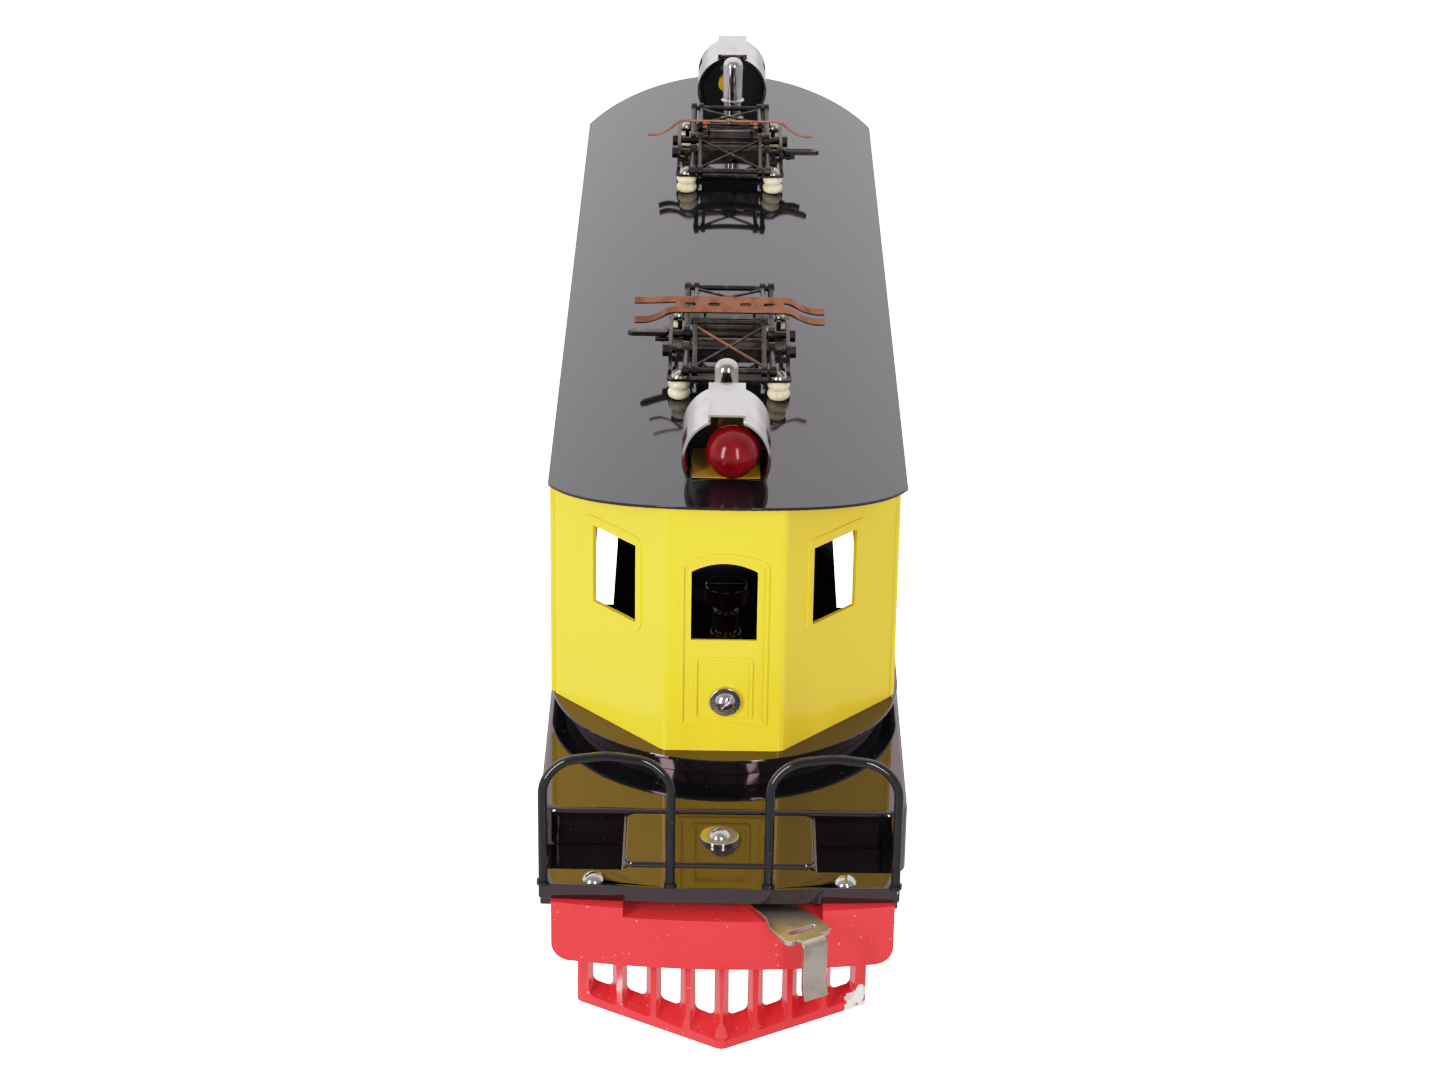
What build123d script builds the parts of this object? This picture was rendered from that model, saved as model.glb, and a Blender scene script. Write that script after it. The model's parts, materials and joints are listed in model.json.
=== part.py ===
"""Wide-gauge model electric locomotive, double ended, with two roof pantographs.

Millimetres, +Z up. The locomotive stands on its wheel flanges at Z = 0 and runs along Y.
The front end faces -Y, and +X is on the right of someone who looks at the front end.
The rear end is the front end turned half a turn about the Z axis.
"""
from build123d import *
import os
from math import atan2, cos, pi, radians, sin, sqrt, tan

# ---------------------------------------------------------------- driving dimensions
ROOF_WIDTH = 96.0
ROOF_STRAIGHT = 301.5
ROOF_END_BOW = 32.3
ROOF_RISE = 8.0
EAVE_Z = 112.5
SHEET = 0.8

CAB_HALF_WIDTH = 46.0
CAB_OFFSET_X = -0.6
CAB_SIDE_HALF_LENGTH = 144.95
CAB_BOTTOM_Z = 46.6
BAY_FRONT = 26.3
BAY_PANEL_HALF = 15.8
EMBOSS = 0.45
SIDE_WINDOW = (21.0, 24.0)
SIDE_WINDOW_Y = (-78.0, -39.0, 0.0, 39.0, 78.0)
SIDE_WINDOW_Z = 89.5
SIDE_DOOR_Y = 121.0
DOOR_WIDTH = 23.4
DOOR_Z = (54.3, 104.7)
DOOR_ARCH = 2.6
DOOR_CORNER = 2.2
DOOR_WINDOW = (17.35, 79.5, 101.8)
DOOR_WINDOW_ARCH = 2.4
KICK_PANEL = (15.6, 18.4)
KICK_PANEL_Z = 65.4
FACET_WINDOW = (17.0, 22.4)
FACET_WINDOW_Z = 91.9
FACET_WINDOW_ALONG = 24.6
FACET_BORDER = (4.0, 2.0, 2.6)
SIDE_BORDER = (2.4, 2.4, 2.4)
BEAD_OUT = 1.1
CAB_SCREW_Z = 61.8
STUD_PLACE = -4.0

FLOOR_HALF_WIDTH = 48.0
FLOOR_FRONT = 32.1
DECK_Z = 40.4
DECK_HALF_WIDTH = 48.5
DECK_FRONT = 48.1
SKIRT_BOTTOM_Z = 21.5

PLATFORM_Z = 39.4
PLATFORM_BOTTOM_Z = 35.1
TONGUE_HALF_WIDTH = 25.0
STRIP_BACK = 77.0
STRIP_FRONT = 86.4
STRIP_HALF_WIDTH = 45.8
END_OFFSET_X = -1.0
WELL_FLOOR_Z = 30.0
PAD_SIZE = (48.4, 25.5)
PAD_HEIGHT = 0.9
COUPLER_PIVOT = 62.3
COUPLER_SWING_AT_REST = 31.3
COUPLER_Z = 33.5
PILOT_SCREW_X = 32.0
PILOT_SCREW_PLACE = 82.0
HANDRAIL_PLACE = 84.6
HANDRAIL_X = (12.4, 44.6)
HANDRAIL_TOP_Z = 76.8
HANDRAIL_RADIUS = 1.2

PILOT_BOW = 4.4
BEAM_BOTTOM_Z = 18.3
GRILLE_BOTTOM_Z = 5.9
RAIL_TOP_Z = 9.0
GRILLE_HALF_WIDTH = 37.0
GRILLE_TOE = 108.7
SLOT_COUNT = 8
SLOT_PITCH = 8.75

LAMP_X = -0.6
LAMP_RADIUS = 11.7
LAMP_LENGTH = 23.0
LAMP_Z = 125.7
LAMP_FRONT_AT_FRONT_END = 13.8
LAMP_FRONT_AT_REAR_END = 21.0
BULB_RADIUS = 7.1
BULB_Z = 127.9
BULB_X = 1.0
WHISTLE_X = -0.8
WHISTLE_PLACE = 16.6
WHISTLE_HEIGHT = 21.2

PANTOGRAPH_PLACE = 65.5
INSULATOR_X = 13.7
INSULATOR_Y = 23.0
BASE_PIVOT_Z = 127.2
BASE_PIVOT_Y = 6.0
ARM_LENGTH = 25.84
FRONT_FOLD = 9.3
REAR_FOLD = 5.7
FRONT_SHOE_TILT = 28.0
REAR_SHOE_TILT = 20.0
FRONT_LEVER_Y = 1.9
REAR_LEVER_Y = 10.0
LEVER_Z = 128.4
HEAD_PIN_RADIUS = 0.7
HEAD_PIN_HALF = 10.8
HEAD_RISE = 1.5
ROD_RADIUS = 0.8
RUNNING = 0.06

DRIVER_Y = 32.0
DRIVER_RADIUS = 22.0
TRUCK_PLACE = 128.0
TRUCK_HALF_BASE = 23.0
TRUCK_WHEEL_RADIUS = 15.5
FLANGE_DEPTH = 1.5
WHEEL_INNER_X = 25.7
WHEEL_OUTER_X = 32.7
GEAR_MODULE = 1.0
DRIVER_TEETH = 36
IDLER_TEETH = 28
PINION_TEETH = 12
PRESSURE_ANGLE = 20.0

HALF = ROOF_STRAIGHT / 2
ROOF_RADIUS = ((ROOF_WIDTH / 2) ** 2 + ROOF_RISE ** 2) / (2 * ROOF_RISE)
ROOF_AXIS_Z = EAVE_Z + ROOF_RISE - ROOF_RADIUS


# ---------------------------------------------------------------- shared helpers
def roof_z(x):
    """Height of the roof's outer surface at a distance x from the centre line."""
    return ROOF_AXIS_Z + sqrt(ROOF_RADIUS ** 2 - x ** 2)


def block(x0, x1, y0, y1, z0, z1):
    centre = Pos((x0 + x1) / 2, (y0 + y1) / 2, (z0 + z1) / 2)
    return centre * Box(abs(x1 - x0), abs(y1 - y0), abs(z1 - z0))


def rod_x(y, z, radius, x0, x1):
    return Pos((x0 + x1) / 2, y, z) * Rot(0, 90, 0) * Cylinder(radius, abs(x1 - x0))


def rod_y(x, z, radius, y0, y1):
    return Pos(x, (y0 + y1) / 2, z) * Rot(90, 0, 0) * Cylinder(radius, abs(y1 - y0))


def rod_z(x, y, radius, z0, z1):
    return Pos(x, y, (z0 + z1) / 2) * Cylinder(radius, abs(z1 - z0))


def wire_between(a, b, radius):
    """A straight round wire from point a to point b."""
    start = Vector(*a)
    run = Vector(*b) - start
    return extrude(Plane(origin=start, z_dir=run) * Circle(radius), amount=run.length)


def prism(points, z0, z1):
    """A vertical prism over a plan outline."""
    face = make_face(Polyline(*[(x, y, z0) for x, y in points], close=True))
    return extrude(face, amount=z1 - z0, dir=(0, 0, 1))


def turned(shape):
    """The same piece at the other end: half a turn about Z."""
    return Rot(0, 0, 180) * shape


def front(a):
    """Y of a place that lies a millimetres in front of the roof's straight side."""
    return -(HALF + a)


def save(name, *solids):
    """Writes one node; a node of several pieces keeps them as separate solids."""
    pieces = []
    for shape in solids:
        pieces.extend(shape.solids())
    node = pieces[0] if len(pieces) == 1 else Compound(children=pieces)
    export_step(node, f"parts/{name}.step")


# ---------------------------------------------------------------- roof
def roof_inside(drop):
    """Everything under the roof's outer surface, lowered by drop."""
    return rod_y(0, ROOF_AXIS_Z, ROOF_RADIUS - drop, -260, 260)


def roof():
    half_width = ROOF_WIDTH / 2
    end = HALF + ROOF_END_BOW
    outline = [
        Line((-half_width, -HALF), (-half_width, HALF)),
        ThreePointArc((-half_width, HALF), (0, end), (half_width, HALF)),
        Line((half_width, HALF), (half_width, -HALF)),
        ThreePointArc((half_width, -HALF), (0, -end), (-half_width, -HALF)),
    ]
    plan = Pos(0, 0, EAVE_Z - SHEET) * make_face(outline)
    return (extrude(plan, amount=ROOF_RISE + 2) & roof_inside(0)) - roof_inside(SHEET)


# ---------------------------------------------------------------- cab
def arched(width, z0, z1, arch):
    """An upright opening with a shallow arched head, drawn in a panel's own plane."""
    half = width / 2
    outline = [
        Line((-half, z1 - arch), (-half, z0)),
        Line((-half, z0), (half, z0)),
        Line((half, z0), (half, z1 - arch)),
        ThreePointArc((half, z1 - arch), (0, z1), (-half, z1 - arch)),
    ]
    return make_face(outline)


def door_relief():
    """Raised lines of a door: its outline and its kick panel."""
    line = 1.1
    outline = arched(DOOR_WIDTH, *DOOR_Z, DOOR_ARCH)
    outline = fillet(outline.vertices().sort_by(Axis.Y)[-2:], DOOR_CORNER)
    inside = arched(DOOR_WIDTH - 2 * line, DOOR_Z[0] + line, DOOR_Z[1] - line, DOOR_ARCH)
    inside = fillet(inside.vertices().sort_by(Axis.Y)[-2:], DOOR_CORNER - line)
    width, height = KICK_PANEL
    kick = RectangleRounded(width, height, 1.2) - RectangleRounded(width - 1.8, height - 1.8, 0.4)
    return [outline - inside, Pos(0, KICK_PANEL_Z) * kick]


def window_relief(width, height, z, border):
    """The raised field round a window; border is its margin on the left, right, top and bottom."""
    left, right, upright = border
    field = Pos((right - left) / 2, z) * RectangleRounded(width + left + right, height + 2 * upright, 2.8)
    return field - Pos(0, z) * Rectangle(width, height)


def on_panel(panel, sketch, out, back):
    """Extrudes a panel drawing from back millimetres behind to out in front of it."""
    return extrude(panel.offset(-back) * sketch, amount=out + back)


def cab_side(side):
    """One flat cab side; side is -1 for the left one and +1 for the right one."""
    outer = side * CAB_HALF_WIDTH
    inner = side * (CAB_HALF_WIDTH - SHEET)
    top = roof_z(CAB_HALF_WIDTH - CAB_OFFSET_X) - SHEET - 0.25
    reach = CAB_SIDE_HALF_LENGTH - 0.4
    wall = block(outer, inner, -reach, reach, CAB_BOTTOM_Z, top)
    for end in (-1, 1):
        bead = block(inner, side * (CAB_HALF_WIDTH + BEAD_OUT), end * (reach - SHEET), end * reach,
                     CAB_BOTTOM_Z + 0.4, top - 0.3)
        outside = bead.faces().sort_by(Axis.X)[-1 if side > 0 else 0]
        corner = outside.edges().filter_by(Axis.Y).sort_by(Axis.Z)[0]
        wall += fillet(corner, BEAD_OUT)
    panel = Plane(origin=(outer, 0, 0), x_dir=(0, side, 0), z_dir=(side, 0, 0))
    width, height = SIDE_WINDOW
    for y in SIDE_WINDOW_Y:
        place = Pos(side * y, 0)
        wall += on_panel(panel, place * window_relief(width, height, SIDE_WINDOW_Z, SIDE_BORDER), EMBOSS, 0.1)
        wall -= on_panel(panel, place * Pos(0, SIDE_WINDOW_Z) * Rectangle(width, height), 2, 2)
    for y in (-SIDE_DOOR_Y, SIDE_DOOR_Y):
        place = Pos(side * y, 0)
        for relief in door_relief():
            wall += on_panel(panel, place * relief, EMBOSS, 0.1)
        wall -= on_panel(panel, place * arched(*DOOR_WINDOW, DOOR_WINDOW_ARCH), 2, 2)
    return Pos(CAB_OFFSET_X, 0, 0) * wall


def cab_end(offset):
    """The three-sided bay that closes the front of the cab, offset millimetres to the right."""
    outer_x = CAB_HALF_WIDTH - 0.2
    panel_y = front(BAY_FRONT)
    back_y = -CAB_SIDE_HALF_LENGTH
    plan = [(-outer_x, back_y), (-BAY_PANEL_HALF, panel_y), (BAY_PANEL_HALF, panel_y), (outer_x, back_y)]
    slope = atan2(back_y - panel_y, outer_x - BAY_PANEL_HALF)
    inset_x = BAY_PANEL_HALF - SHEET * tan(slope / 2)
    inner = [
        (outer_x - SHEET / sin(slope), back_y),
        (inset_x, panel_y + SHEET),
        (-inset_x, panel_y + SHEET),
        (-outer_x + SHEET / sin(slope), back_y),
    ]
    bay = prism(plan + inner, CAB_BOTTOM_Z, EAVE_Z + ROOF_RISE)
    door_plane = Plane(origin=(0, panel_y, 0), x_dir=(1, 0, 0), z_dir=(0, -1, 0))
    for relief in door_relief():
        bay += on_panel(door_plane, relief, EMBOSS, 0.1)
    bay -= on_panel(door_plane, arched(*DOOR_WINDOW, DOOR_WINDOW_ARCH), 2, 2)
    width, height = FACET_WINDOW
    wide, narrow, upright = FACET_BORDER
    for side in (-1, 1):
        run = Vector(-side * cos(slope), -sin(slope), 0)
        centre = Vector(side * outer_x, back_y, 0) + run * FACET_WINDOW_ALONG
        facet = Plane(origin=centre, x_dir=run * -side, z_dir=(side * sin(slope), -cos(slope), 0))
        border = (wide, narrow, upright) if side < 0 else (narrow, wide, upright)
        bay += on_panel(facet, window_relief(width, height, FACET_WINDOW_Z, border), EMBOSS, 0.1)
        bay -= on_panel(facet, Pos(0, FACET_WINDOW_Z) * Rectangle(width, height), 2, 2)
    bay = Pos(offset, 0, 0) * bay - rod_y(0, CAB_SCREW_Z, 1.6, panel_y - 2, panel_y + 2)
    return bay & roof_inside(SHEET + 0.15)


def slotted_dome(radius, height, slot=0.7):
    """A domed screw head on Z = 0 with a slot along X."""
    ball = (radius ** 2 + height ** 2) / (2 * height)
    dome = Pos(0, 0, height - ball) * Sphere(ball) & block(-radius, radius, -radius, radius, 0, height)
    return dome - block(-radius, radius, -slot / 2, slot / 2, height * 0.45, height + 1)


def cab_screw():
    """The screw that holds the bay, with its washer and its nut inside."""
    panel_y = front(BAY_FRONT)
    forward = Plane(origin=(0, panel_y - 1.3, CAB_SCREW_Z), x_dir=(1, 0, 0), z_dir=(0, -1, 0))
    head = forward.location * (Rot(0, 0, 50) * slotted_dome(2.8, 1.6))
    shank = rod_y(0, CAB_SCREW_Z, 1.5, panel_y - 1.3, panel_y + 5)
    washer = rod_y(0, CAB_SCREW_Z, 4.1, panel_y - 1.3, panel_y - 0.5)
    washer -= rod_y(0, CAB_SCREW_Z, 1.6, panel_y - 2, panel_y)
    nut_plane = Plane(origin=(0, panel_y + 1.0, CAB_SCREW_Z), x_dir=(1, 0, 0), z_dir=(0, 1, 0))
    nut = extrude(nut_plane * RegularPolygon(3.2, 6), amount=2.4)
    nut -= rod_y(0, CAB_SCREW_Z, 1.5, panel_y, panel_y + 5)
    return [head + shank, washer, nut]


def cab_stud():
    """The upright stud behind the door: slotted disc head, stem, ring and foot."""
    y = front(STUD_PLACE)
    stud = rod_z(0, y, 5.7, 76.5, 81.5)
    stud -= block(-6, 6, y - 0.6, y + 0.6, 79.0, 82)
    stud += rod_z(0, y, 2.7, CAB_BOTTOM_Z, 77)
    stud += rod_z(0, y, 3.4, 68.5, 74.0)
    stud += rod_z(0, y, 4.2, 65.0, 67.5)
    stud += rod_z(0, y, 5.0, CAB_BOTTOM_Z, CAB_BOTTOM_Z + 1.5)
    return stud


# ---------------------------------------------------------------- floor and frame
SIDE_SLOT = (32.4, 39.2)
SIDE_SLOT_HALF_LENGTH = 89.0
MOTOR_WELL = (24.5, 56.0)


def floor_plate():
    """The rounded plate under the cab, on a rim set back from its edge."""
    half_length = HALF + FLOOR_FRONT
    straight = 2 * (half_length - FLOOR_HALF_WIDTH)
    outline = Rectangle(2 * FLOOR_HALF_WIDTH, straight)
    inset = 4.0
    rim = Rectangle(2 * (FLOOR_HALF_WIDTH - inset), straight)
    rim_inner = Rectangle(2 * (FLOOR_HALF_WIDTH - inset - SHEET), straight)
    for end in (-straight / 2, straight / 2):
        outline += Pos(0, end) * Circle(FLOOR_HALF_WIDTH)
        rim += Pos(0, end) * Circle(FLOOR_HALF_WIDTH - inset)
        rim_inner += Pos(0, end) * Circle(FLOOR_HALF_WIDTH - inset - SHEET)
    plate = extrude(Pos(0, 0, CAB_BOTTOM_Z - 1.0) * outline, amount=1.0)
    plate += extrude(Pos(0, 0, DECK_Z) * (rim - rim_inner), amount=CAB_BOTTOM_Z - 1.0 - DECK_Z + 0.1)
    for side in (-1, 1):
        near, far = side * SIDE_SLOT[0], side * SIDE_SLOT[1]
        plate -= block(near, far, -SIDE_SLOT_HALF_LENGTH, SIDE_SLOT_HALF_LENGTH, 40, 50)
    plate -= block(-MOTOR_WELL[0], MOTOR_WELL[0], -MOTOR_WELL[1], MOTOR_WELL[1], 40, 50)
    return plate


def main_frame():
    """The pressed deck with its side skirts and end walls, open underneath."""
    length = 2 * (HALF + DECK_FRONT)
    tray = extrude(Pos(0, 0, SKIRT_BOTTOM_Z) * RectangleRounded(2 * DECK_HALF_WIDTH, length, 6.0),
                   amount=DECK_Z - SKIRT_BOTTOM_Z)
    tray = fillet(tray.faces().sort_by(Axis.Z)[-1].edges(), 1.4)
    hollow = RectangleRounded(2 * (DECK_HALF_WIDTH - SHEET), length - 2 * SHEET, 6.0 - SHEET)
    tray -= extrude(Pos(0, 0, SKIRT_BOTTOM_Z) * hollow, amount=DECK_Z - SHEET - SKIRT_BOTTOM_Z)
    slot = SIDE_SLOT[1]
    tray -= block(-slot, slot, -SIDE_SLOT_HALF_LENGTH, SIDE_SLOT_HALF_LENGTH, 30, 50)
    return tray


def end_platform():
    """The T-shaped step in front of the end wall, with its raised pad."""
    wall = front(DECK_FRONT)
    strip = [
        (-STRIP_HALF_WIDTH, front(STRIP_BACK)),
        (-STRIP_HALF_WIDTH, front(STRIP_FRONT - 1.6)),
        (-13.0, front(STRIP_FRONT)),
        (13.0, front(STRIP_FRONT)),
        (STRIP_HALF_WIDTH, front(STRIP_FRONT - 1.6)),
        (STRIP_HALF_WIDTH, front(STRIP_BACK)),
    ]
    platform = prism(strip, PLATFORM_BOTTOM_Z, PLATFORM_Z)
    platform += block(-TONGUE_HALF_WIDTH, TONGUE_HALF_WIDTH, front(STRIP_BACK + 1), wall,
                      PLATFORM_Z - 1.5, PLATFORM_Z)
    for side in (-1, 1):
        inner, outer = side * (TONGUE_HALF_WIDTH - 0.9), side * STRIP_HALF_WIDTH
        back, near = wall, front(STRIP_BACK)
        platform += block(inner, outer, near, back, WELL_FLOOR_Z - 0.9, WELL_FLOOR_Z)
        platform += block(inner, inner + side * 0.9, near, back, WELL_FLOOR_Z - 0.9, PLATFORM_Z - 0.5)
        platform += block(outer - side * 0.9, outer, near, back, WELL_FLOOR_Z - 0.9, PLATFORM_Z)
        platform += block(inner, outer, near, near - 0.9, WELL_FLOOR_Z - 0.9, PLATFORM_BOTTOM_Z + 0.5)
    width, length = PAD_SIZE
    pad_y = front(DECK_FRONT + 1.4 + length / 2)
    pad = extrude(Pos(0, pad_y, PLATFORM_Z - 0.1) * RectangleRounded(width, length, 2.5), amount=PAD_HEIGHT + 0.1)
    platform += fillet(pad.faces().sort_by(Axis.Z)[-1].edges(), 0.4)
    platform -= rod_z(0, front(COUPLER_PIVOT), 1.6, 30, 45)
    for side in (-1, 1):
        platform -= rod_z(side * PILOT_SCREW_X, front(PILOT_SCREW_PLACE), 1.5, 30, 45)
    return Pos(END_OFFSET_X, 0, 0) * platform


def handrail(side):
    """One hoop of round wire that stands on the platform's cross strip."""
    inner, outer = side * HANDRAIL_X[0], side * HANDRAIL_X[1]
    middle = (inner + outer) / 2
    y = front(HANDRAIL_PLACE)
    top = HANDRAIL_TOP_Z - HANDRAIL_RADIUS
    shoulder = top - 1.6
    points = [(inner, y, PLATFORM_Z), (inner, y, shoulder), (middle, y, top + 0.6),
              (outer, y, shoulder), (outer, y, PLATFORM_Z)]
    path = FilletPolyline(*points, radius=[10.0, 20.0, 10.0])
    hoop = sweep(Plane(origin=points[0], z_dir=(0, 0, 1)) * Circle(HANDRAIL_RADIUS), path=path)
    for x in (inner, outer):
        hoop += rod_z(x, y, HANDRAIL_RADIUS + 0.5, PLATFORM_Z, PLATFORM_Z + 1.0)
    return Pos(END_OFFSET_X, 0, 0) * hoop


# ---------------------------------------------------------------- pilot and coupler
BEAM_HALF_WIDTH = 43.6
BEAM_BACK = 78.3
BEAM_CORNER = 4.6
NOTCH_HALF_WIDTH = 25.3
NOTCH_FLOOR_Z = 32.5
SLOT_FRONT_WIDTH = 8.2
SLOT_BACK_WIDTH = 4.0
SLOT_OVERRUN = 3.0
NOSE_ROUND = 2.6
GRILLE_DEPTH_END = 6.7
GRILLE_DEPTH_CENTRE = 9.7


def grille_front(x, z):
    """Distance in front of the roof's straight side of the grille's sloping face."""
    centred = 1 - abs(x) / GRILLE_HALF_WIDTH
    low = STRIP_FRONT + (GRILLE_TOE - STRIP_FRONT) * centred
    high = STRIP_FRONT - 0.6 + 4.4 * centred
    rise = (z - RAIL_TOP_Z) / (BEAM_BOTTOM_Z - RAIL_TOP_Z)
    return low + (high - low) * max(rise, 0)


def grille_back(x, z):
    centred = 1 - abs(x) / GRILLE_HALF_WIDTH
    rise = max((z - RAIL_TOP_Z) / (BEAM_BOTTOM_Z - RAIL_TOP_Z), 0)
    depth = GRILLE_DEPTH_END + (GRILLE_DEPTH_CENTRE - GRILLE_DEPTH_END) * centred
    return grille_front(x, z) - depth * (1 - rise) - GRILLE_DEPTH_END * rise


def wedge(face_at, half_width, back, z0, z1):
    """A pointed block between two levels whose front follows face_at."""
    sections = []
    for z in (z0, z1):
        points = [(-half_width, front(back), z), (-half_width, front(face_at(half_width, z)), z),
                  (0, front(face_at(0, z)), z), (half_width, front(face_at(half_width, z)), z),
                  (half_width, front(back), z)]
        section = make_face(Polyline(*points, close=True))
        shoulders = section.vertices().filter_by_position(Axis.Y, -400, front(back) - 0.5)
        sections.append(fillet(shoulders, NOSE_ROUND))
    return loft(sections, ruled=True)


def grille_slot(x):
    """The drafted opening between two ribs, wider at the front than at the back."""
    low, high = RAIL_TOP_Z - 0.9, BEAM_BOTTOM_Z + 0.6
    ends = ((SLOT_FRONT_WIDTH, grille_front, SLOT_OVERRUN, 0.0),
            (SLOT_BACK_WIDTH, grille_back, -SLOT_OVERRUN, 1.6))
    quads = []
    for width, face_at, step, lift in ends:
        bottom = (front(face_at(x, low) + step), low + lift)
        top = (front(face_at(x, high) + step), high)
        half = width / 2
        corners = [(x - half, *bottom), (x - half, *top), (x + half, *top), (x + half, *bottom)]
        face = make_face(Polyline(*corners, close=True))
        quads.append(fillet(face.vertices().sort_by(Axis.Z)[:2], 1.3))
    return loft(quads, ruled=True)


def pilot():
    """The cast pilot: a bowed buffer beam over a pointed grille."""
    back, edge, nose = front(BEAM_BACK), front(STRIP_FRONT), front(STRIP_FRONT + PILOT_BOW)
    outline = [
        Line((-BEAM_HALF_WIDTH, back), (-BEAM_HALF_WIDTH, edge)),
        ThreePointArc((-BEAM_HALF_WIDTH, edge), (0, nose), (BEAM_HALF_WIDTH, edge)),
        Line((BEAM_HALF_WIDTH, edge), (BEAM_HALF_WIDTH, back)),
        Line((BEAM_HALF_WIDTH, back), (-BEAM_HALF_WIDTH, back)),
    ]
    beam = extrude(Pos(0, 0, BEAM_BOTTOM_Z) * make_face(outline), amount=PLATFORM_BOTTOM_Z - BEAM_BOTTOM_Z)
    front_view = Rectangle(2 * BEAM_HALF_WIDTH, 40, align=(Align.CENTER, Align.MIN))
    front_view = fillet(front_view.vertices().sort_by(Axis.Y)[:2], BEAM_CORNER)
    facing = Plane(origin=(0, nose - 1, BEAM_BOTTOM_Z), x_dir=(1, 0, 0), z_dir=(0, -1, 0))
    beam &= extrude(facing * front_view, amount=-30)
    beam -= block(-NOTCH_HALF_WIDTH, NOTCH_HALF_WIDTH, nose - 5, back + 5, NOTCH_FLOOR_Z, 40)
    grille = wedge(grille_front, GRILLE_HALF_WIDTH, BEAM_BACK, RAIL_TOP_Z, BEAM_BOTTOM_Z)
    grille += wedge(grille_front, GRILLE_HALF_WIDTH, BEAM_BACK, GRILLE_BOTTOM_Z, RAIL_TOP_Z)
    inner_half = GRILLE_HALF_WIDTH - 2.6
    hollow = wedge(grille_back, inner_half, BEAM_BACK - 5, RAIL_TOP_Z, BEAM_BOTTOM_Z)
    hollow += wedge(grille_back, inner_half, BEAM_BACK - 5, GRILLE_BOTTOM_Z - 1, RAIL_TOP_Z)
    grille -= hollow
    for i in range(SLOT_COUNT):
        grille -= grille_slot((i - (SLOT_COUNT - 1) / 2) * SLOT_PITCH)
    casting = beam + grille
    for side in (-1, 1):
        casting -= rod_z(END_OFFSET_X + side * PILOT_SCREW_X, front(PILOT_SCREW_PLACE), 1.4, 28, 40)
    return casting


def pilot_screw(side):
    x, y = END_OFFSET_X + side * PILOT_SCREW_X, front(PILOT_SCREW_PLACE)
    head = Pos(x, y, PLATFORM_Z) * Rot(0, 0, 60 + 35 * side) * slotted_dome(2.85, 1.9)
    return head + rod_z(x, y, 1.35, 29, PLATFORM_Z + 0.2)


def coupler():
    """The latch coupler, drawn with its pivot at the origin and its nose along -Y."""
    half_arm, half_plate, half_tab = 4.9, 6.65, 3.45
    plan = make_face(Polyline((-half_arm, 0), (-half_arm, -31), (-half_plate, -35.5), (-half_plate, -44.0),
                              (half_plate, -44.0), (half_plate, -35.5), (half_arm, -31), (half_arm, 0),
                              close=True))
    plan = fillet(plan.vertices().filter_by_position(Axis.Y, -50, -5), 1.6)
    plan += Circle(half_arm)
    plan -= Circle(1.5 + RUNNING)
    plan -= Pos(0, -40.2) * SlotOverall(8.2, 1.7)
    plate = extrude(Pos(0, 0, COUPLER_Z - 0.6) * plan, amount=1.2)
    bend = make_face([
        Line((-43.5, 0.6), (-44.8, 0.6)),
        ThreePointArc((-44.8, 0.6), (-46.2, 0.0), (-46.8, -1.4)),
        Line((-46.8, -1.4), (-46.8, -12.5)),
        Line((-46.8, -12.5), (-47.9, -15.4)),
        Line((-47.9, -15.4), (-46.8, -15.9)),
        Line((-46.8, -15.9), (-45.6, -12.6)),
        Line((-45.6, -12.6), (-45.6, -1.4)),
        ThreePointArc((-45.6, -1.4), (-45.4, -0.8), (-44.8, -0.6)),
        Line((-44.8, -0.6), (-43.5, -0.6)),
        Line((-43.5, -0.6), (-43.5, 0.6)),
    ])
    side_view = Plane(origin=(-half_tab, 0, COUPLER_Z), x_dir=(0, 1, 0), z_dir=(1, 0, 0))
    plate += extrude(side_view * bend, amount=2 * half_tab)
    place = Pos(END_OFFSET_X, front(COUPLER_PIVOT), 0) * Rot(0, 0, COUPLER_SWING_AT_REST)
    return place * plate


def coupler_post():
    """The shouldered screw that the coupler swings on, and its washer."""
    x, y = END_OFFSET_X, front(COUPLER_PIVOT)
    pad_top = PLATFORM_Z + PAD_HEIGHT
    post = Pos(x, y, pad_top + 1.0) * Rot(0, 0, 20) * slotted_dome(2.75, 1.9)
    post += rod_z(x, y, 1.5, COUPLER_Z - 2.6, pad_top + 1.2)
    post += rod_z(x, y, 3.2, COUPLER_Z + 0.7, PLATFORM_Z - 1.5)
    post += rod_z(x, y, 3.0, COUPLER_Z - 2.6, COUPLER_Z - 0.7)
    washer = rod_z(x, y, 5.0, pad_top, pad_top + 1.0) - rod_z(x, y, 1.5, 30, 50)
    return [post, washer]


# ---------------------------------------------------------------- roof fittings
VENT_HALF_WIDTH = 4.9
VENT_TOP_Z = 138.3
LAMP_SHEET = 0.6


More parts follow.
